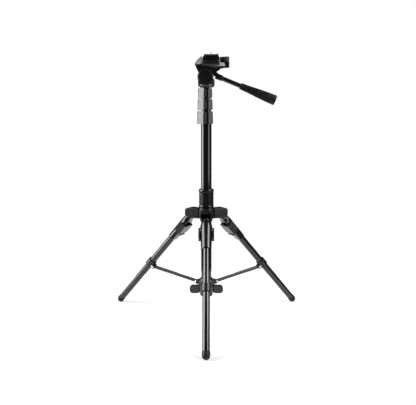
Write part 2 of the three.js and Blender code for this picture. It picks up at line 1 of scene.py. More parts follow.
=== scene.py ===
"""The looks of the compact tripod with its pan-and-tilt head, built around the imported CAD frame.

Shapes are written in millimetres. Each piece is built in its own local frame and keeps that
frame's coordinates as a mesh attribute, so that its grain runs along it wherever it stands. The
column's axis is x = y = 0 of the tripod's frame, and the floor is z = 0. A leg's frame has its
origin at the leg's pivot, x down the leg, and z on its outer side.
"""

import math

import bmesh
import bpy
from mathutils import Matrix, Vector


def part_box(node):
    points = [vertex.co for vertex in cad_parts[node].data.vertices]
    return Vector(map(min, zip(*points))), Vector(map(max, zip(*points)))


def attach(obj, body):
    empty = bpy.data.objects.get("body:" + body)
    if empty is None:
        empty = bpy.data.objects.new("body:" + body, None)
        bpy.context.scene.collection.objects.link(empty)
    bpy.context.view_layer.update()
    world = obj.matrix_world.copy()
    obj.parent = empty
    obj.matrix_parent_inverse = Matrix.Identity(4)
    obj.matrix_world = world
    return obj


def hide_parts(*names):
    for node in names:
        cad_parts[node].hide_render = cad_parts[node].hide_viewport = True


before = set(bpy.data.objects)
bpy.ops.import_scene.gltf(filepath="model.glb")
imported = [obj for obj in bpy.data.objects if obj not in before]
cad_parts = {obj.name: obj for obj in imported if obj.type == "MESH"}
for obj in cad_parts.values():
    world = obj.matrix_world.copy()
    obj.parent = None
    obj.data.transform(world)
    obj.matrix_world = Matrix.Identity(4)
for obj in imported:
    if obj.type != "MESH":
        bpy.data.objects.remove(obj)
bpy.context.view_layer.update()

MM = 0.001
LOCAL = "local_place"
TUBE_LOW, TUBE_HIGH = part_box("main_tube")
COLUMN_Y = (TUBE_LOW.y + TUBE_HIGH.y) / 2 / MM
COLUMN = Matrix.Translation((0, COLUMN_Y, 0))

# ---- Driving dimensions, in millimetres ------------------------------------------------------
TUBE_RADII = [12.5, 10.9, 9.3, 7.7]
TUBE_WALL = 1.2
GAP = 0.3
SLIDE_BORE = TUBE_RADII[0] + GAP
COLLAR_RADII = [15.2, 14.2, 13.1]
COLLAR_TAPERS = [0.7, 0.6, 0.5]
PIN_AZIMUTH = math.radians(157)
PIN_OUTSIDE = 3.9
KNUCKLE = 3.6
LEG_AZIMUTHS = [-90, 30, 150]
PIVOT_R = 43
PIVOT_Z = 253.2
LEG_ANGLE = math.radians(42.19)
LEG_RADIUS = 8.2
LEVER_PIN_ALONG = 57
LEVER_PIN_DEPTH = 13.3
HUB_PIN_R = 25.6
HUB_PIN_Z = 88.6
RIVET_ALONG = 182.2
RIVET_DEPTH = 12.8
TILT_X = -2
TILT_Z = 581.1
HANDLE_X = 22
HANDLE_Z = 584.4
HANDLE_ANGLE = math.radians(22.2)
SCREW_X = 10.8
HANDLE_ROD_RADIUS = 5.2
GRIP_BORE = 5.3

# ---- Limits for outlines and finishes --------------------------------------------------------
NEARLY_STRAIGHT = 1.55  # half a corner's angle, in radians, above which it isn't rounded
SHARP_EDGE = math.radians(50)
SOFT_NOISE = 14  # how much coarser the soft noise of a finish is than its grain

# ---- The studio, in metres and watts ---------------------------------------------------------
FLOOR_RADIUS = 0.52
FLOOR_PLAIN_RADIUS = 0.2
FLOOR_GLOW = (0.5, 0.8)
BACKDROP = 1.0
ROOM_LIGHT = 0.03
SOFTBOXES = {
    # name: where it stands, what it faces, width, height, power
    "softbox_left": ((-2.0, 0.0, 1.2), (0, 0.05, 0.45), 1.5, 2.5, 88),
    "softbox_right": ((1.6, -0.35, 1.9), (0, 0.05, 0.4), 1.1, 1.3, 36),
    "softbox_low_right": ((1.5, -0.85, 0.7), (0, 0.0, 0.5), 0.7, 1.1, 8),
}

# ---- The camera, in millimetres --------------------------------------------------------------
CAMERA_LENS = 51.57
CAMERA_SENSOR = 36
CAMERA_X = 4
CAMERA_DISTANCE = 1418.7
CAMERA_HEIGHT = 475.5
CAMERA_DIP = 0.133  # how far it looks down, in radians


# ---- Outlines --------------------------------------------------------------------------------
def arc(x, y, radius, start, end, steps=12):
    """Points on a circle from one angle to another, in degrees."""
    made = []
    for i in range(steps + 1):
        a = math.radians(start + (end - start) * i / steps)
        made.append((x + radius * math.cos(a), y + radius * math.sin(a)))
    return made


def rounded(points, radius, steps=5):
    """A closed outline with its corners rounded. The radius is one number, or one per corner."""
    radii = radius if isinstance(radius, list) else [radius] * len(points)
    made = []
    for i, r in enumerate(radii):
        corner = Vector(points[i])
        before = Vector(points[i - 1]) - corner
        after = Vector(points[(i + 1) % len(points)]) - corner
        half = before.angle(after) / 2
        if r <= 0 or half > NEARLY_STRAIGHT:
            made.append(tuple(corner))
            continue
        reach = min(r / math.tan(half), before.length * 0.48, after.length * 0.48)
        r = reach * math.tan(half)
        centre = corner + (before.normalized() + after.normalized()).normalized() * (
            r / math.sin(half)
        )
        u = corner + before.normalized() * reach - centre
        v = corner + after.normalized() * reach - centre
        start = math.atan2(u.y, u.x)
        turn = (math.atan2(v.y, v.x) - start + math.pi) % (2 * math.pi) - math.pi
        for k in range(steps + 1):
            a = start + turn * k / steps
            made.append((centre.x + r * math.cos(a), centre.y + r * math.sin(a)))
    return made


def rectangle(x0, x1, y0, y1, corner=0):
    return rounded([(x0, y0), (x1, y0), (x1, y1), (x0, y1)], corner)


def at_height(outline, z):
    return [(x, y, z) for x, y in outline]


def trapezoid(z, x0, half_0, x1, half_1, corner, steps=5):
    """A four-sided outline at one height, with its own half width at each end."""
    points = [(x0, -half_0), (x1, -half_1), (x1, half_1), (x0, half_0)]
    return at_height(rounded(points, corner, steps), z)


def steps_between(low, high, count):
    return [low + (high - low) * i / count for i in range(count + 1)]


def clamped(share):
    return max(0, min(1, share))


# ---- Solids ----------------------------------------------------------------------------------
PLANES = {
    "xy": lambda u, v, w: (u, v, w),
    "xz": lambda u, v, w: (u, w, v),
    "yz": lambda u, v, w: (w, u, v),
}


def sweep(bm, sections, closed=False):
    """Skin over sections with the same number of points, capped at both ends unless closed."""
    rings = [[bm.verts.new(p) for p in section] for section in sections]
    pairs = list(zip(rings, rings[1:]))
    if closed:
        pairs.append((rings[-1], rings[0]))
    for a, b in pairs:
        for i in range(len(a)):
            bm.faces.new((a[i - 1], a[i], b[i], b[i - 1]))
    if not closed:
        bm.faces.new(rings[0])
        bm.faces.new(rings[-1])


def prism(bm, outline, low, high, plane="xy"):
    """An outline drawn in a plane, thick from low to high across it."""
    put = PLANES[plane]
    sweep(bm, [[put(u, v, w) for u, v in outline] for w in (low, high)])


def lathe(bm, profile, axis="z", centre=(0, 0), segments=64, shape=None):
    """A solid of revolution from (radius, height) points. A profile that starts and ends at
    radius 0 is open there, and any other one closes on itself round a bore. The shape function
    gives what to add to the radius at an angle and height."""
    solid = profile[0][0] == 0 and profile[-1][0] == 0
    place = {
        "z": lambda a, b, h: (centre[0] + a, centre[1] + b, h),
        "y": lambda a, b, h: (centre[0] + a, h, centre[1] + b),
        "x": lambda a, b, h: (h, centre[0] + a, centre[1] + b),
    }[axis]
    rows = []
    for r, h in profile:
        if r == 0:
            rows.append([bm.verts.new(place(0, 0, h))])
            continue
        row = []
        for i in range(segments):
            a = 2 * math.pi * i / segments
            reach = r + (shape(a, h) if shape else 0)
            row.append(bm.verts.new(place(reach * math.cos(a), reach * math.sin(a), h)))
        rows.append(row)
    pairs = list(zip(rows, rows[1:]))
    if not solid:
        pairs.append((rows[-1], rows[0]))
    for low, high in pairs:
        for i in range(segments):
            if len(low) == 1:
                bm.faces.new((low[0], high[i], high[i - 1]))
            elif len(high) == 1:
                bm.faces.new((low[i - 1], low[i], high[0]))
            else:
                bm.faces.new((low[i - 1], low[i], high[i], high[i - 1]))


def flutes(count, depth, low, high, fade=2.5):
    """A shape function for a lathe: grooves along the axis between two heights."""

    def shape(angle, height):
        inside = min(height - low, high - height)
        share = clamped(inside / fade)
        return -depth * share * (0.5 - 0.5 * math.cos(count * angle)) ** 2

    return shape


def bar(bm, radius, low, high, edge, axis, centre=(0, 0), segments=32):
    """A round bar with its end edges rounded."""
    lathe(bm, rectangle(0, radius, low, high, [0, edge, edge, 0]), axis, centre, segments)


def carved(body, *tools):
    """The body's mesh with the tools' meshes cut out of it."""
    main = bpy.data.objects.new("carve_body", to_mesh(body, "carve_body"))
    bpy.context.scene.collection.objects.link(main)
    helpers = []
    for tool in tools:
        helper = bpy.data.objects.new("carve_tool", to_mesh(tool, "carve_tool"))
        bpy.context.scene.collection.objects.link(helper)
        helpers.append(helper)
        cut = main.modifiers.new("cut", "BOOLEAN")
        cut.operation = "DIFFERENCE"
        cut.solver = "EXACT"
        cut.object = helper
    bpy.context.view_layer.update()
    evaluated = main.evaluated_get(bpy.context.evaluated_depsgraph_get())
    result = bmesh.new()
    result.from_mesh(evaluated.to_mesh())
    bmesh.ops.remove_doubles(result, verts=result.verts, dist=1e-4)
    bmesh.ops.dissolve_limit(
        result, angle_limit=math.radians(1), verts=result.verts, edges=result.edges
    )
    for obj in [main, *helpers]:
        mesh = obj.data
        bpy.data.objects.remove(obj)
        bpy.data.meshes.remove(mesh)
    return result


def to_mesh(bm, name):
    bmesh.ops.recalc_face_normals(bm, faces=bm.faces)
    mesh = bpy.data.meshes.new(name)
    bm.to_mesh(mesh)
    bm.free()
    return mesh


def merge(bm, other):
    """Adds another mesh's faces to this one."""
    mesh = bpy.data.meshes.new("merge")
    other.to_mesh(mesh)
    other.free()
    bm.from_mesh(mesh)
    bpy.data.meshes.remove(mesh)


def piece(name, bm, finish, body, place=COLUMN, bevel=0.0, cuts=3, nodes=(), angle=28):
    """Makes a visible piece from a mesh in millimetres and hangs it on a CAD body."""
    bmesh.ops.scale(bm, vec=(MM, MM, MM), verts=bm.verts)
    mesh = to_mesh(bm, name)
    points = [c for vertex in mesh.vertices for c in vertex.co]
    mesh.attributes.new(LOCAL, "FLOAT_VECTOR", "POINT").data.foreach_set("vector", points)
    mesh.transform(Matrix.Translation(place.to_translation() * MM) @ place.to_3x3().to_4x4())
    mesh.polygons.foreach_set("use_smooth", [True] * len(mesh.polygons))
    mesh.materials.append(FINISH[finish])
    obj = bpy.data.objects.new(name, mesh)
    bpy.context.scene.collection.objects.link(obj)
    if bevel:
        edge = obj.modifiers.new("bevel", "BEVEL")
        edge.width = bevel * MM
        edge.segments = cuts
        edge.limit_method = "ANGLE"
        edge.angle_limit = math.radians(angle)
        edge.use_clamp_overlap = True
    else:
        mesh.set_sharp_from_angle(angle=SHARP_EDGE)
    normals = obj.modifiers.new("normals", "WEIGHTED_NORMAL")
    normals.keep_sharp = True
    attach(obj, body)
    if nodes:
        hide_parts(*nodes)
    return obj


# ---- Materials -------------------------------------------------------------------------------
def textured(name, dark, light, rough, grain, bump=0.0, stretch=(1, 1, 1), **constants):
    """A procedural finish: colour and roughness vary with a soft noise, and a fine one raises
    the surface. Grain is the fine noise's scale per metre, and bump its height in millimetres."""
    made = bpy.data.materials.new(name)
    made.use_nodes = True
    nodes, links = made.node_tree.nodes, made.node_tree.links
    shader = nodes["Principled BSDF"]
    for socket, value in constants.items():
        shader.inputs[socket.replace("_", " ")].default_value = value
    where = nodes.new("ShaderNodeAttribute")
    where.attribute_name = LOCAL
    mapping = nodes.new("ShaderNodeMapping")
    mapping.inputs["Scale"].default_value = stretch
    links.new(where.outputs["Vector"], mapping.inputs["Vector"])
    soft = nodes.new("ShaderNodeTexNoise")
    soft.inputs["Scale"].default_value = grain / SOFT_NOISE
    soft.inputs["Detail"].default_value = 3
    links.new(mapping.outputs["Vector"], soft.inputs["Vector"])
    ramp = nodes.new("ShaderNodeValToRGB")
    ramp.color_ramp.elements[0].position = 0.32
    ramp.color_ramp.elements[0].color = (*dark, 1)
    ramp.color_ramp.elements[1].position = 0.7
    ramp.color_ramp.elements[1].color = (*light, 1)
    links.new(soft.outputs["Fac"], ramp.inputs["Fac"])
    links.new(ramp.outputs["Color"], shader.inputs["Base Color"])
    spread = nodes.new("ShaderNodeMapRange")
    spread.inputs["To Min"].default_value = rough[0]
    spread.inputs["To Max"].default_value = rough[1]
    links.new(soft.outputs["Fac"], spread.inputs["Value"])
    links.new(spread.outputs["Result"], shader.inputs["Roughness"])
    if bump:
        fine = nodes.new("ShaderNodeTexNoise")
        fine.inputs["Scale"].default_value = grain
        fine.inputs["Detail"].default_value = 2
        links.new(mapping.outputs["Vector"], fine.inputs["Vector"])
        relief = nodes.new("ShaderNodeBump")
        relief.inputs["Strength"].default_value = 0.5
        relief.inputs["Distance"].default_value = bump * MM
        links.new(fine.outputs["Fac"], relief.inputs["Height"])
        links.new(relief.outputs["Normal"], shader.inputs["Normal"])
    return made


def cork(name):
    """Pressed cork: brown granules with darker joints between them."""
    made = textured(name, (0.05, 0.03, 0.017), (0.11, 0.07, 0.038), (0.75, 0.95), 1800, 0.3)
    nodes, links = made.node_tree.nodes, made.node_tree.links
    shader = nodes["Principled BSDF"]
    ramp = nodes["Color Ramp"]
    cells = nodes.new("ShaderNodeTexVoronoi")
    cells.inputs["Scale"].default_value = 620
    links.new(nodes["Attribute"].outputs["Vector"], cells.inputs["Vector"])
    shade = nodes.new("ShaderNodeMix")
    shade.data_type = "RGBA"
    shade.blend_type = "MULTIPLY"
    shade.inputs["Factor"].default_value = 0.55
    links.new(ramp.outputs["Color"], shade.inputs["A"])
    links.new(cells.outputs["Color"], shade.inputs["B"])
    links.new(shade.outputs["Result"], shader.inputs["Base Color"])
    return made


JET = (0.006, 0.007, 0.007)
CHARCOAL = (0.012, 0.013, 0.013)
FINISH = {
    "tube": textured(
        "anodised_black_column", (0.004, 0.004, 0.005), (0.009, 0.010, 0.011), (0.07, 0.11), 900, 0,
        (1, 1, 0.02), IOR=1.6,
    ),
    "limb": textured(
        "anodised_black_leg", (0.004, 0.004, 0.005), (0.009, 0.010, 0.011), (0.07, 0.11), 900, 0,
        (0.02, 1, 1), IOR=1.6,
    ),
    "plastic": textured("moulded_black", JET, CHARCOAL, (0.26, 0.36), 2600, 0.006, IOR=1.5),
    "gloss": textured("gloss_black", JET, CHARCOAL, (0.14, 0.2), 2200, 0.002, IOR=1.55),
    "satin": textured(
        "satin_grey", (0.055, 0.057, 0.058), (0.08, 0.083, 0.085), (0.24, 0.34), 2400, 0.01, IOR=1.6,
    ),
    "silver": textured(
        "satin_silver", (0.05, 0.053, 0.056), (0.07, 0.074, 0.078), (0.2, 0.28), 2400, 0.002, IOR=1.6,
    ),
    "slate": textured(
        "slate_grey", (0.02, 0.021, 0.02), (0.034, 0.036, 0.034), (0.24, 0.32), 2400, 0.004, IOR=1.5,
    ),
    "rubber": textured(
        "rubber_black", (0.003, 0.003, 0.003), (0.007, 0.007, 0.006), (0.4, 0.5), 3200, 0.006,
        IOR=1.38,
    ),
    "steel": textured(
        "polished_steel", (0.62, 0.63, 0.64), (0.78, 0.79, 0.8), (0.16, 0.3), 1500, 0.006,
        Metallic=1.0,
    ),
    "cork": cork("cork_pad"),
}


# ---- Column ----------------------------------------------------------------------------------
def tube(name, body, radius):
    low, high = (corner.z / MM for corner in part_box(name))
    bm = bmesh.new()
    profile = rectangle(radius - TUBE_WALL, radius, low, high, 0.4)
    lathe(bm, profile, segments=96)
    piece(name + "_skin", bm, "tube", body, nodes=[name])


def pin_centre(radius):
    reach = radius + PIN_OUTSIDE
    return reach * math.cos(PIN_AZIMUTH), reach * math.sin(PIN_AZIMUTH)


def collar(index, body, tube_top):
    """A clamp collar: banded body with two hinge lugs, its lever and the pin between them."""
    n = index + 1
    radius, taper = COLLAR_RADII[index], COLLAR_TAPERS[index]
    low, high = (corner.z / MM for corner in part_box(f"collar_{n}_pin"))
    bore, lip, seat = TUBE_RADII[index] + GAP, TUBE_RADII[index + 1] + GAP, tube_top + GAP
    upper = radius - taper
    profile = rounded(
        [
            (bore, low), (radius, low), (radius, low + 3.4), (radius - 0.7, low + 4),
            (radius - 0.7, low + 5), (radius - 0.1, low + 5.6), (upper, high - 4.4),
            (upper - 0.7, high - 3.9), (upper - 0.7, high - 3.2), (upper - 0.1, high - 2.7),
            (upper - 1.3, high), (lip, high), (lip, seat), (bore, seat),
        ],
        [0, 1, 0.4, 0.2, 0.2, 0.4, 0.4, 0.2, 0.2, 0.4, 0.8, 0.3, 0, 0],
        4,
    )
    bm = bmesh.new()
    lathe(bm, profile, segments=96)
    x, y = pin_centre(radius)
    out = Vector((math.cos(PIN_AZIMUTH), math.sin(PIN_AZIMUTH)))
    side = Vector((-out.y, out.x))
    third = (high - low) / 3
    root = out * (radius - 2)
    web = [
        Vector((x, y)) + side * KNUCKLE, Vector((x, y)) - side * KNUCKLE,
        root - side * 7, root + side * 7,
    ]
    for z0, z1 in ((low + 0.2, low + third - GAP), (high - third + GAP, high - 0.4)):
        lathe(bm, rectangle(1.9, KNUCKLE, z0, z1, 0.5), centre=(x, y), segments=32)
        prism(bm, [tuple(p) for p in web], z0, z1)
    piece(f"collar_{n}_shell", bm, "gloss", body, nodes=[f"collar_{n}"], angle=50)
    pin = bmesh.new()
    head = rounded(
        [(0, low - 0.3), (2.4, low - 0.3), (2.4, low + 0.2), (1.55, low + 0.2), (1.55, high - 0.4),
         (2.4, high - 0.4), (2.4, high), (0, high)],
        [0, 0.3, 0, 0, 0, 0, 0.3, 0],
    )
    lathe(pin, head, centre=(x, y), segments=24)
    piece(f"collar_{n}_hinge_pin", pin, "steel", body, nodes=[f"collar_{n}_pin"])
    collar_lever(n, radius, low, high, third, x, y)
    collar_band(n, body, radius, taper, low, high)


def curved_plate(sections_at, angles, lean):
    """A plate round the column that leans inwards towards its top: five points across it at each
    azimuth in degrees."""
    bm = bmesh.new()
    sections = []
    for a in angles:
        shift, inner, outer, z0, z1 = sections_at(a)
        c, s = math.cos(math.radians(a)), math.sin(math.radians(a))
        swell = 0.3
        middle = (z0 + z1) / 2
        foot, head = outer + lean / 2, outer - lean / 2
        sections.append([
            (shift + inner * c, inner * s, z0), (shift + foot * c, foot * s, z0),
            (shift + (outer + swell) * c, (outer + swell) * s, middle),
            (shift + head * c, head * s, z1), (shift + inner * c, inner * s, z1),
        ])
    sweep(bm, sections)
    return bm


def flat_reach(angle, facing, distance, most):
    """How far out a flat face stands at an azimuth, up to a limit."""
    lean = math.cos(math.radians(angle - facing))
    return min(distance / lean, most) if lean > 0.1 else most


def collar_lever(n, radius, low, high, third, x, y):
    """A plate round the front left, flat there and chamfered at its free end."""
    facing, flat, most, thickness = -133, radius + 2.1, radius + 3.7, 2.4

    def section(a):
        end = clamped((a + 103) / 13)
        start = clamped((-190 - a) / 10)
        outer = flat_reach(a, facing, flat, most) - 0.8 * start - 0.6 * end
        inner = max(radius + 0.5, outer - thickness)
        shift = -2 * max(0, math.cos(math.radians(a + 180)))
        return shift, inner, outer, low + 4.2 * end, high - 4.2 * end

    bm = curved_plate(section, steps_between(-200, -88, 56), 1)
    lathe(bm, rectangle(1.9, KNUCKLE, low + third, high - third, 0.4), centre=(x, y), segments=32)
    piece(
        f"collar_{n}_flip_lever", bm, "silver", f"collar_lever_{n}",
        bevel=0.45, nodes=[f"collar_{n}_lever"],
    )


def collar_band(n, body, radius, taper, low, high):
    """A thin flat-faced cheek on the collar's front right."""
    facing, flat, most = -54, radius + 0.3, radius + 1.5

    def section(a):
        reach = flat_reach(a, facing, flat, most)
        return 0, radius - 2.2, reach - taper / 2, low + 0.3, high - 0.5

    bm = curved_plate(section, steps_between(-70, -18, 26), taper)
    piece(f"collar_{n}_band", bm, "silver", body, bevel=0.5)


def column():
    bodies = ["root", "stage_2", "stage_3", "stage_4"]
    names = ["main_tube", "stage_2_tube", "stage_3_tube", "stage_4_tube"]
    for name, body, radius in zip(names, bodies, TUBE_RADII):
        tube(name, body, radius)
    for index in range(3):
        collar(index, bodies[index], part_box(names[index])[1].z / MM)


# ---- Shoulder and twist sleeve ---------------------------------------------------------------
def shoulder():
    """A ring on the main tube with three arms. Each has a slot that the leg's knuckle turns in."""
    bottom, top, ring_top, reach = 247.6, 271, 273, 52.4
    half, slot_half = 14.3, 10.1
    slot_start, wall, wall_foot, roof = 21.5, 50.3, 263.5, top - 3.8
    under, past = 240, 60  # clear of the arm, so that the slot is open there
    bm = bmesh.new()
    profile = rounded(
        [(SLIDE_BORE, bottom), (19, bottom), (19, top - 1.5), (17.9, ring_top),
         (SLIDE_BORE, ring_top)],
        [0.3, 1.2, 0.8, 0.6, 0.5],
    )
    lathe(bm, profile, segments=96)
    for azimuth in LEG_AZIMUTHS:
        arm = bmesh.new()
        outline = rounded(
            [(14.5, bottom), (43.4, bottom - 0.6), (reach, bottom + 6), (reach, top), (14.5, top)],
            [0, 4, 3, 7, 0],
            8,
        )
        prism(arm, outline, -half, half, "xz")
        slot = bmesh.new()
        hollow = rounded(
            [(slot_start, under), (past, under), (past, wall_foot), (wall, wall_foot), (wall, roof),
             (slot_start, roof)],
            [0, 0, 0, 0, 2, 2],
        )
        prism(slot, hollow, -slot_half, slot_half, "xz")
        arm = carved(arm, slot)
        turn = Matrix.Rotation(math.radians(azimuth), 3, "Z")
        bmesh.ops.rotate(arm, verts=arm.verts, matrix=turn)
        merge(bm, arm)
    piece("shoulder_shell", bm, "plastic", "shoulder", bevel=0.9, nodes=["shoulder"])


def twist_sleeve():
    """A sleeve with a plain band at each end and flutes between them."""
    bottom, top, radius = 273.5, 318.8, 17.9
    lower, upper = bottom + 4.4, top - 6.4
    middle = [(radius - 0.6, z) for z in steps_between(lower + 0.6, upper - 0.6, 16)]
    profile = (
        [(SLIDE_BORE, bottom), (radius - 0.8, bottom), (radius - 0.2, bottom + 0.4)]
        + [(radius, bottom + 1.1), (radius, lower - 0.4), (radius - 0.2, lower)]
        + middle
        + [(radius - 0.2, upper), (radius, upper + 0.4), (radius, top - 2.6)]
        + [(radius - 0.5, top - 1), (radius - 1.7, top - 0.2), (radius - 2.6, top)]
        + [(SLIDE_BORE, top)]
    )
    bm = bmesh.new()
    lathe(bm, profile, segments=288, shape=flutes(24, 0.3, lower, upper))
    piece("lock_sleeve_shell", bm, "gloss", "lock_sleeve", nodes=["lock_sleeve"])


# ---- Bottom hub ------------------------------------------------------------------------------
def hub():
    """The body at the foot of the main tube, with a clevis for each brace."""
    bottom, top, radius = 83.2, 101, 18
    bm = bmesh.new()
    profile = rounded(
        [(SLIDE_BORE, 67.6), (14.6, 67.6), (14.6, bottom), (radius, bottom), (radius, 95), (16, 98),
         (14.6, top), (SLIDE_BORE, top)],
        [0, 0.4, 0, 1, 1.5, 1, 0.5, 0],
    )
    lathe(bm, profile, segments=96)
    for azimuth in LEG_AZIMUTHS:
        ears = bmesh.new()
        outline = [(14, 95.5), (14, HUB_PIN_Z - 5.3)] + arc(HUB_PIN_R, HUB_PIN_Z, 5.3, -90, 90)
        for y0, y1 in ((-6.8, -3.8), (3.8, 6.8)):
            prism(ears, outline, y0, y1, "xz")
        turn = Matrix.Rotation(math.radians(azimuth), 3, "Z")
        bmesh.ops.rotate(ears, verts=ears.verts, matrix=turn)
        merge(bm, ears)
    piece("hub_shell", bm, "plastic", "root", bevel=0.6, nodes=["hub_body"])


def wing_nut():
    bm = bmesh.new()
    ring = rectangle(14.9, 20, 68, 82.6, [0.3, 1.2, 1.2, 0.3])
    lathe(bm, ring, segments=96)
    panels = bmesh.new()
    for side in (1, -1):
        wing = rounded(
            [(side * 15.8, 64), (side * 24, 62.4), (side * 41, 62.4), (side * 41, 82),
             (side * 15.8, 82.6)],
            [1, 3, 8.5, 8.5, 1],
            8,
        )
        root = rounded(
            [(side * 15.8, 65.5), (side * 25.5, 64), (side * 25.5, 81.2), (side * 15.8, 82.2)],
            [0.5, 1.5, 1.5, 0.5],
        )
        prism(bm, wing, -4.8, 4.8, "xz")
        prism(bm, root, -6.3, 6.3, "xz")
        face = rounded(
            [(side * 27.2, 64.6), (side * 38.9, 64.6), (side * 38.9, 79.8), (side * 27.2, 79.8)],
            [1.2, 6.5, 6.5, 1.2],
            8,
        )
        prism(panels, face, -5.4, 5.4, "xz")
    piece("wing_nut_body", bm, "gloss", "wing_nut", bevel=1.3, nodes=["wing_nut"])
    piece("wing_nut_panels", panels, "slate", "wing_nut", bevel=0.5)


def end_cap():
    bm = bmesh.new()
    side = [(15.3, z) for z in steps_between(59.4, 66.4, 6)]
    profile = (
        [(0, 56.4), (8, 56.4), (8.6, 55.9), (12.6, 55.9), (14.1, 56.5), (15, 57.8)]
        + side
        + [(15, 67), (14.4, 67.2), (12.9, 67.2), (12.9, 59.5), (0, 59.5)]
    )
    lathe(bm, profile, segments=144, shape=flutes(24, 0.45, 57.5, 66.4, 1.5))
    piece("end_cap_rubber", bm, "rubber", "root", nodes=["end_cap"])


def rivet(name, node, body, place, x, z):
    """A domed rivet across a clevis."""
    bm = bmesh.new()
    profile = [(0, -9.4), (1.6, -9.3), (2.9, -8.8), (3.6, -7.9), (3.7, -7.1), (2, -7.1)]
    lathe(bm, profile + [(r, -y) for r, y in reversed(profile)], "y", (x, z), 40)
    piece(name, bm, "steel", body, place, nodes=[node])


# ---- Legs ------------------------------------------------------------------------------------
def box_section(x, half_y, half_z, corner, steps=5):
    """A rounded rectangle across the leg at one distance along it."""
    outline = rounded(
        [(-half_y, -half_z), (half_y, -half_z), (half_y, half_z), (-half_y, half_z)], corner, steps
    )
    return [(x, y, z) for y, z in outline]


def arched_section(x, half, low, high, corner=3):
    """A section across the leg: half a circle on the outer side, a box on the inner one."""
    outline = arc(0, high - half, half, 0, 180, 28)
    outline += rounded([(-half, high - half), (-half, low), (half, low), (half, high - half)],
                       [0, corner, corner, 0])[1:-1]
    return [(x, y, z) for y, z in outline]


def bracket(n, place):
    """The outer section of a leg: a domed knuckle in the arm, and a shell round the tube's end."""
    bm = bmesh.new()
    sizes = [
        (-8.3, 3, -3, 3, 1), (-7.8, 5.4, -4.6, 4.4, 1.6), (-6, 7.8, -6.8, 6.4, 2),
        (-3, 9.1, -8, 7.9, 2), (1, 9.6, -8.3, 8.5, 2), (8, 9.8, -8.4, 8.8, 2),
        (11.5, 10.6, -8.8, 9.2, 3),
        (14.5, 12.6, -9.4, 9.8, 3), (18, 13.8, -9.8, 10.2, 3), (24, 14.1, -9.9, 10.4, 3),
        (36, 13.7, -9.9, 10.4, 3), (54, 12.9, -9.8, 10.3, 3), (72, 12.2, -9.7, 10.1, 3),
        (81, 11.9, -9.6, 10, 3), (82.6, 11.6, -9.4, 9.8, 3), (83.2, 11, -8.8, 9.3, 2.6),
        (82.6, 10.4, -8.6, 8.9, 2.4), (76, 10.3, -8.6, 8.9, 2.4),
    ]
    sweep(bm, [arched_section(*size) for size in sizes])
    for y0, y1 in ((-11, -8), (8, 11)):
        lug = [(54.2, -6), (60, -6)] + arc(LEVER_PIN_ALONG, -LEVER_PIN_DEPTH, 2.9, 0, -180, 12)
        prism(bm, lug, y0, y1, "xz")
    piece(
        f"leg_{n}_bracket_shell", bm, "gloss", f"leg_{n}", place,
        nodes=[f"leg_{n}_bracket"],
    )


def leg_lever(n, place):
    """The clamp lever on the inner side of a leg, with a wing down each side."""
    bm = bmesh.new()
    plate = rounded([(24, -14.2), (57, -14.8), (57, -10.8), (26, -10.8)], [1.5, 1, 0.5, 1])
    prism(bm, plate, -7.6, 7.6, "xz")
    bridge = rounded([(27, -14.4), (53, -14.4), (53, -10.8), (27, -10.8)], [1, 1, 0.3, 0.3])
    prism(bm, bridge, -18, 18, "xz")
    wing = rounded(
        [(25, -14), (53, -14), (53, -1), (48, 4.4), (29, 4.4), (25, 0)],
        [1.5, 1.5, 2, 2, 2, 2],
    )
    for y0, y1 in ((-18.2, -14.3), (14.3, 18.2)):
        prism(bm, wing, y0, y1, "xz")
    barrel = rectangle(1.8, 2.9, -7.6, 7.6, 0.5)
    lathe(bm, barrel, "y", (LEVER_PIN_ALONG, -LEVER_PIN_DEPTH), 32)
    piece(
        f"leg_{n}_clamp_lever", bm, "slate", f"leg_lever_{n}", place, bevel=0.8,
        nodes=[f"leg_{n}_lever"],
    )
    tip = bmesh.new()
    bar(tip, 2.7, -7.9, 7.9, 1.5, "y", (23.4, -13.4))
    piece(f"leg_{n}_lever_tip", tip, "plastic", f"leg_lever_{n}", place)


def cross_pin(name, node, body, place, x, z, radius, half):
    """A plain pin across a leg."""
    bm = bmesh.new()
    bar(bm, radius, -half, half, 0.5, "y", (x, z))
    piece(name, bm, "steel", body, place, nodes=[node])


def brace_ring(n, place):
    """A band on the leg tube with the two ears that hold the brace."""
    inner, lip, outer = LEG_RADIUS + GAP, LEG_RADIUS + 0.9, 10.9
    bm = bmesh.new()
    profile = rounded(
        [(inner, 171.6), (lip, 171.6), (lip, 171), (outer, 171), (outer, 190), (lip, 190),
         (lip, 189.2), (inner, 189.2)],
        [0, 0, 0, 1.2, 1.2, 0, 0, 0],
    )
    lathe(bm, profile, "x", segments=80)
    ear = arc(RIVET_ALONG, -RIVET_DEPTH, 5, 180, 360)
    ear = [(RIVET_ALONG - 7, -7)] + ear + [(RIVET_ALONG + 7, -7)]
    for y0, y1 in ((-6.8, -3.8), (3.8, 6.8)):
        prism(bm, ear, y0, y1, "xz")
    piece(
        f"leg_{n}_ring_shell", bm, "plastic", f"leg_{n}", place, bevel=0.5,
        nodes=[f"leg_{n}_brace_ring"], angle=40,
    )


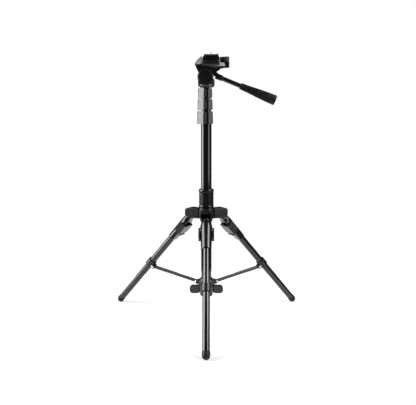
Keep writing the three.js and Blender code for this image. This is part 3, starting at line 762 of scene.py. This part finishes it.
def foot(n, place):
    """A rubber foot with one groove and a round end, flat where it stands."""
    centre, radius, bore, groove = 330.3, 8.9, 8.5, 325.5
    profile = [(0, 326.3), (bore, 326.3), (bore, 322), (8.6, 322), (8.8, 322.3), (radius, 323)]
    profile += [(radius, groove - 0.9), (8.8, groove - 0.6), (8.6, groove - 0.3)]
    profile += [(8.6, groove + 0.3), (8.8, groove + 0.6), (radius, groove + 0.9)]
    profile += arc(0, centre, radius, 0, 90, 16)[:-1] + [(0, centre + radius)]
    bm = bmesh.new()
    lathe(bm, profile, "x", segments=64)
    for vertex in bm.verts:
        height = (place @ vertex.co).z
        if height < 0:
            vertex.co += place.to_3x3().inverted() @ Vector((0, 0, -height))
    piece(
        f"leg_{n}_foot_rubber", bm, "rubber", f"leg_{n}", place,
        nodes=[f"leg_{n}_foot"],
    )


def brace(n, base):
    """A rounded rod from the hub to the ring on the leg, with a flat eye at each end."""
    outer_r = PIVOT_R + RIVET_ALONG * math.sin(LEG_ANGLE) - RIVET_DEPTH * math.cos(LEG_ANGLE)
    outer_z = PIVOT_Z - RIVET_ALONG * math.cos(LEG_ANGLE) - RIVET_DEPTH * math.sin(LEG_ANGLE)
    run, rise = outer_r - HUB_PIN_R, outer_z - HUB_PIN_Z
    length = math.hypot(run, rise)
    place = base @ Matrix.Translation((HUB_PIN_R, 0, HUB_PIN_Z)) @ Matrix.Rotation(
        -math.atan2(rise, run), 4, "Y"
    )
    bm = bmesh.new()
    for x in (0, length):
        lathe(bm, rectangle(2.2, 4.3, -3.4, 3.4, 0.6), "y", (x, 0), 40)
    sizes = []
    for x in [2.6, 3.4, 5, 7.5, 10, *steps_between(14, length - 14, 10), length - 10,
              length - 7.5, length - 5, length - 3.4, length - 2.6]:
        near = min(x, length - x)
        share = clamped((near - 2.6) / 7.4)
        sizes.append((x, 3.0 + 0.5 * share, 3.3 + 0.7 * share, 1 + 1.9 * share))
    sweep(bm, [box_section(*size, steps=6) for size in sizes])
    piece(f"brace_{n}_rod", bm, "slate", f"brace_{n}", place, nodes=[f"brace_{n}"])


def leg(azimuth, n):
    base = COLUMN @ Matrix.Rotation(math.radians(azimuth), 4, "Z")
    place = base @ Matrix.Translation((PIVOT_R, 0, PIVOT_Z)) @ Matrix.Rotation(
        math.pi / 2 - LEG_ANGLE, 4, "Y"
    )
    body = f"leg_{n}"
    bracket(n, place)
    leg_lever(n, place)
    cross_pin(f"leg_{n}_pivot", f"leg_{n}_pivot_pin", body, place, 0, 0, 2.6, 10)
    cross_pin(
        f"leg_{n}_lever_hinge", f"leg_{n}_lever_pin", body, place,
        LEVER_PIN_ALONG, -LEVER_PIN_DEPTH, 1.5, 12,
    )
    bm = bmesh.new()
    lathe(bm, rectangle(LEG_RADIUS - TUBE_WALL, LEG_RADIUS, 40, 326, 0.3), "x", segments=80)
    piece(f"leg_{n}_tube_skin", bm, "limb", body, place, nodes=[f"leg_{n}_tube"])
    brace_ring(n, place)
    rivet(f"leg_{n}_ring_rivet", f"leg_{n}_rivet", body, place, RIVET_ALONG, -RIVET_DEPTH)
    rivet(f"hub_rivet_{n}", f"hub_pin_{n}", "root", base, HUB_PIN_R, HUB_PIN_Z)
    foot(n, place)
    brace(n, base)


# ---- Head ------------------------------------------------------------------------------------
def pan_base():
    """A turned base with the tilt drum on it, between two low cheeks, and the axle."""
    bm = bmesh.new()
    base = rounded(
        [(0, 557.4), (14.6, 557.4), (19.4, 560.8), (19.4, 563.6), (0, 563.6)],
        [0, 0.8, 1, 0.8, 0],
    )
    lathe(bm, base, segments=96)
    bar(bm, 18.6, -12, 12, 0.8, "y", (TILT_X, TILT_Z), 96)
    cheek = rounded(
        [(-19.3, 562), (19.3, 562), (19.3, 574), (14, 581), (-14, 581), (-19.3, 576)], 2
    )
    for y0, y1 in ((-12, -9), (9, 12)):
        prism(bm, cheek, y0, y1, "xz")
    prism(bm, rectangle(-14, 12, 562, 575), -9.2, 9.2, "xz")
    piece(
        "pan_base_shell", bm, "silver", "pan", bevel=0.7, nodes=["pan_base"],
        angle=40,
    )
    axle = bmesh.new()
    bar(axle, 4, -17, 17, 0.5, "y", (TILT_X, TILT_Z))
    piece("tilt_axle_pin", axle, "steel", "pan", nodes=["tilt_axle"])


def plan(z, front, rear, half, cut_x, cut_y, corner=2):
    """The platform's outline at one height, with long chamfers at its front corners."""
    points = [
        (front, cut_y - half), (front + cut_x, -half), (rear - corner, -half), (rear, corner - half),
        (rear, half - corner), (rear - corner, half), (front + cut_x, half), (front, half - cut_y),
    ]
    return at_height(rounded(points, [14, 34, 1, 1, 1, 1, 34, 14], 7), z)


def tilt_body():
    """The platform, faceted like a gem, its two skirts round the tilt axis, and its tail."""
    bm = bmesh.new()
    sweep(bm, [
        plan(600.8, -18.5, 27, 15.5, 10, 8), plan(601.6, -19.4, 28, 16.4, 11, 9),
        plan(608.6, -26.6, 31, 21.4, 19, 13.5), plan(609.8, -27.2, 31, 21.9, 20, 14),
        plan(611.2, -26.9, 31, 21.7, 20, 14), plan(619.8, -21.6, 31, 18.6, 17, 12.5),
        plan(621.2, -20.6, 30.4, 17.4, 16, 12), plan(621.6, -19.8, 30, 16.8, 15, 11.5),
    ])
    rim = ((618, -21, 4.5, 12), (625, -16.8, 4, 9.6), (625.8, -15.8, 3.8, 9), (628.6, -11.8, 3, 6))
    rim_corners = [3, 0.6, 0.6, 3]
    sweep(bm, [
        trapezoid(z, front, half_0, -10.4, half_1, rim_corners) for z, front, half_0, half_1 in rim
    ])
    skirt = (
        [(-24.4, 605), (-18.6, 593.5)]
        + arc(TILT_X, TILT_Z, 16.4, 155, 375, 30)
        + [(17.6, 588), (20.2, 592), (20.2, 609), (-22, 609)]
    )
    for y0, y1 in ((-17, -12.4), (12.4, 17)):
        prism(bm, skirt, y0, y1, "xz")
    boss = rounded(
        [(17, 583.4), (26.8, 583.4), (26.8, 590), (21, 595), (21, 603), (17, 603)],
        [1, 2, 2, 1, 0, 0],
    )
    prism(bm, boss, -8.5, 8.5, "xz")
    gusset = rounded(
        [(19, 603.5), (33.5, 603.5), (33.5, 600.5), (21.5, 592), (19, 592)],
        [0, 0, 1, 1, 0.5],
    )
    for y0, y1 in ((-10.4, -6.6), (6.6, 10.4)):
        prism(bm, gusset, y0, y1, "xz")
    stop = rectangle(0, 1.9, 600.4, 604, [0, 0.6, 0, 0])
    lathe(bm, stop, centre=(36.5, 0), segments=24)
    tail = rounded(
        [(28, -15.5), (31, -14), (44.2, -14), (44.2, 14), (31, 14), (28, 15.5)],
        [0, 1, 0.5, 0.5, 1, 0],
    )
    prism(bm, tail, 603.2, 605.2)
    prism(bm, rectangle(43.6, 53.4, -13.6, 13.6, 2.2), 603.4, 614.1)
    piece(
        "tilt_platform", bm, "plastic", "tilt", bevel=0.7, nodes=["tilt_body"],
        angle=16,
    )
    band = bmesh.new()
    levels = ((604.4, 21.4, 13.2), (605.2, 22, 14), (613.4, 19, 9.6), (614, 18, 8.8))
    sweep(band, [trapezoid(z, 24, wide, 43.8, narrow, 0.8, 3) for z, wide, narrow in levels])
    piece("tail_band", band, "gloss", "tilt", bevel=0.9)


def tilt_cover(node, side, reach):
    """A dished disc over one end of the tilt axis."""
    bm = bmesh.new()
    profile = [
        (0, 17.3), (16.9, 17.3), (17.2, 17.6), (17.2, reach - 1.6), (16.9, reach - 0.6),
        (16.3, reach - 0.1), (15.6, reach), (15, reach - 0.1), (14.4, reach - 0.5),
        (12.4, reach - 0.9), (8, reach - 1.5), (3.2, reach - 2), (2.6, reach - 2.6), (0, reach - 2.7),
    ]
    lathe(bm, [(r, side * y) for r, y in profile], "y", (TILT_X, TILT_Z), 96)
    piece(node + "_disc", bm, "rubber", "tilt", nodes=[node])


def release_plate():
    """The quick-release plate, with a slot in one side and a lip at its rear, and its pad."""
    bm = bmesh.new()
    outline = rounded(
        [(-9.5, 622), (31, 622), (30.2, 625), (28, 628), (-5.6, 628), (-8.9, 625)], 0.5, 3
    )
    prism(bm, outline, -20, 20, "xz")
    slot = bmesh.new()
    prism(slot, rectangle(0.2, 19.6, 624.3, 627.3, 0.8), -24, -16.5, "xz")
    plate = carved(bm, slot)
    lip = rounded([(25, 627), (28.2, 627), (28.2, 631.6), (27, 633), (25, 633)], [0, 0, 1, 1, 0.6])
    prism(plate, lip, -17, 17, "xz")
    piece(
        "quick_release_plate", plate, "plastic", "plate", bevel=0.45,
        nodes=["release_plate"],
    )
    pad = bmesh.new()
    for x0, x1 in ((-5.5, 7.1), (14.5, 24.6)):
        prism(pad, rectangle(x0, x1, -17, 17, 1), 628.3, 632)
    for y0, y1 in ((-17, -4), (4, 17)):
        prism(pad, rectangle(6.9, 14.7, y0, y1, 0.6), 628.3, 631.9)
    piece("plate_cork", pad, "cork", "plate", bevel=0.3, nodes=["plate_pad"])


def camera_screw():
    """A quarter-inch stud on a flanged head, with its thread as closely spaced ridges."""
    core, crest, pitch, thread_top = 2.6, 3.1, 1.27, 636.6
    profile = [(0, 618.2), (6.6, 618.2), (7, 618.6), (7, 624.2), (6.6, 624.6), (core, 624.6)]
    z = 626
    while z < thread_top:
        profile += [(core, z), (crest, z + 0.35), (crest, z + 0.5), (core, z + 0.85)]
        z += pitch
    profile += [(core, 637.2), (2.2, 637.8), (1.6, 638), (0, 638)]
    bm = bmesh.new()
    lathe(bm, profile, centre=(SCREW_X, 0), segments=40)
    piece("camera_stud", bm, "steel", "camera_screw", nodes=["camera_screw"])


def release_lever():
    """A flared block that turns on a post in the tail."""
    bm = bmesh.new()
    pivot_x = 38
    flare = rounded(
        [(40, -9.5), (46, -12), (53.4, -10), (53.4, 8), (46, 12), (40, 9.5)],
        [0, 1.5, 3, 3, 1.5, 0],
    )
    prism(bm, arc(pivot_x, 0, 6.4, 90, 270, 20) + flare, 614.8, 627.2)
    lathe(bm, rectangle(0, 4.5, 608.6, 615.6), centre=(pivot_x, 0), segments=32)
    piece(
        "release_lever_shell", bm, "satin", "release_lever", bevel=2.2, cuts=5,
        nodes=["release_lever"],
    )


def handle():
    """A socket under the rear of the platform, the rod in it, and a fluted grip that widens."""
    slope = Matrix.Rotation(HANDLE_ANGLE, 4, "Y")
    place = COLUMN @ Matrix.Translation((HANDLE_X, 0, HANDLE_Z)) @ slope
    bm = bmesh.new()
    prism(bm, rectangle(-6.5, 6.5, -6.5, 6.5, 1.8), 0.1, 9, "yz")
    ferrule = rounded(
        [(GRIP_BORE, 8), (6.6, 8), (6.6, 16), (6, 17.6), (GRIP_BORE, 17.6)],
        [0, 0, 1, 0.5, 0],
    )
    lathe(bm, ferrule, "x", segments=48)
    piece(
        "handle_boss", bm, "plastic", "tilt", place, bevel=0.6,
        nodes=["handle_socket"],
    )
    rod = bmesh.new()
    bar(rod, HANDLE_ROD_RADIUS, 9.3, 145, 0.5, "x", segments=64)
    piece("handle_rod_skin", rod, "limb", "handle", place, nodes=["handle_rod"])
    knots = [(62, 7.6), (84, 8.4), (106.7, 10.2), (129, 11.5), (142.5, 11.8)]
    side = []
    for (x0, r0), (x1, r1) in zip(knots, knots[1:]):
        side += [(r0 + (r1 - r0) * k / 8, x0 + (x1 - x0) * k / 8) for k in range(8)]
    side[0] = (7.6, 63.6)
    profile = (
        [(0, 146), (GRIP_BORE, 146), (GRIP_BORE, 62), (6.6, 62), (7.3, 62.4), (7.6, 63.2)]
        + side
        + [(11.8, 142.5), (11.5, 143), (11.1, 143.4), (11.1, 144.2), (11.5, 144.6)]
        + [(11.9, 145.1), (11.9, 149.2), (11.5, 150.5), (10.6, 151.3), (9.4, 151.5), (0, 151.5)]
    )
    grip = bmesh.new()
    lathe(grip, profile, "x", segments=224, shape=flutes(14, 1.1, 64.5, 142.5, 3))
    piece("handle_grip_rubber", grip, "rubber", "handle", place, nodes=["handle_grip"])


# ---- Build -----------------------------------------------------------------------------------
column()
shoulder()
twist_sleeve()
hub()
wing_nut()
end_cap()
for number, heading in enumerate(LEG_AZIMUTHS, 1):
    leg(heading, number)
pan_base()
tilt_body()
tilt_cover("tilt_cover_front", -1, 24)
tilt_cover("tilt_cover_rear", 1, 21)
release_plate()
camera_screw()
release_lever()
handle()


# ---- Stage, light and camera -----------------------------------------------------------------
def floor_material():
    """A pale floor that glows a little more towards its edge, so that it ends in the backdrop."""
    made = bpy.data.materials.new("pale_floor")
    made.use_nodes = True
    nodes, links = made.node_tree.nodes, made.node_tree.links
    shader = nodes["Principled BSDF"]
    shader.inputs["Base Color"].default_value = (0.6, 0.6, 0.6, 1)
    shader.inputs["Roughness"].default_value = 1
    shader.inputs["Specular IOR Level"].default_value = 0
    shader.inputs["Emission Color"].default_value = (1, 1, 1, 1)
    where = nodes.new("ShaderNodeTexCoord")
    length = nodes.new("ShaderNodeVectorMath")
    length.operation = "LENGTH"
    links.new(where.outputs["Object"], length.inputs[0])
    glow = nodes.new("ShaderNodeMapRange")
    glow.inputs["From Min"].default_value = FLOOR_PLAIN_RADIUS
    glow.inputs["From Max"].default_value = FLOOR_RADIUS
    glow.inputs["To Min"].default_value = FLOOR_GLOW[0]
    glow.inputs["To Max"].default_value = FLOOR_GLOW[1]
    links.new(length.outputs["Value"], glow.inputs["Value"])
    links.new(glow.outputs["Result"], shader.inputs["Emission Strength"])
    return made


def floor():
    bm = bmesh.new()
    bmesh.ops.create_circle(bm, cap_ends=True, radius=FLOOR_RADIUS, segments=96)
    mesh = to_mesh(bm, "studio_floor")
    mesh.materials.append(floor_material())
    obj = bpy.data.objects.new("studio_floor", mesh)
    bpy.context.scene.collection.objects.link(obj)


def softbox(name, location, target, width, height, power):
    """A rectangular area light that faces a point."""
    lamp = bpy.data.lights.new(name, "AREA")
    lamp.shape = "RECTANGLE"
    lamp.size, lamp.size_y = width, height
    lamp.energy = power
    obj = bpy.data.objects.new(name, lamp)
    obj.location = location
    obj.rotation_euler = (Vector(target) - Vector(location)).to_track_quat("-Z", "Y").to_euler()
    bpy.context.scene.collection.objects.link(obj)


def studio():
    """The floor, the softboxes and a room that is white to the camera and dim to everything else."""
    floor()
    for name, setting in SOFTBOXES.items():
        softbox(name, *setting)
    world = bpy.data.worlds.new("studio")
    world.use_nodes = True
    nodes, links = world.node_tree.nodes, world.node_tree.links
    room = nodes["Background"]
    room.inputs["Color"].default_value = (1, 1, 1, 1)
    room.inputs["Strength"].default_value = ROOM_LIGHT
    seen = nodes.new("ShaderNodeBackground")
    seen.inputs["Color"].default_value = (1, 1, 1, 1)
    seen.inputs["Strength"].default_value = BACKDROP
    mix = nodes.new("ShaderNodeMixShader")
    path = nodes.new("ShaderNodeLightPath")
    links.new(path.outputs["Is Camera Ray"], mix.inputs["Fac"])
    links.new(room.outputs["Background"], mix.inputs[1])
    links.new(seen.outputs["Background"], mix.inputs[2])
    links.new(mix.outputs["Shader"], nodes["World Output"].inputs["Surface"])
    bpy.context.scene.world = world
    bpy.context.scene.view_settings.view_transform = "Standard"


def camera():
    data = bpy.data.cameras.new("camera")
    data.lens = CAMERA_LENS
    data.sensor_width = CAMERA_SENSOR
    obj = bpy.data.objects.new("camera", data)
    obj.location = (CAMERA_X * MM, (COLUMN_Y - CAMERA_DISTANCE) * MM, CAMERA_HEIGHT * MM)
    obj.rotation_euler = (math.pi / 2 - CAMERA_DIP, 0, 0)
    bpy.context.scene.collection.objects.link(obj)
    bpy.context.scene.camera = obj


studio()
camera()
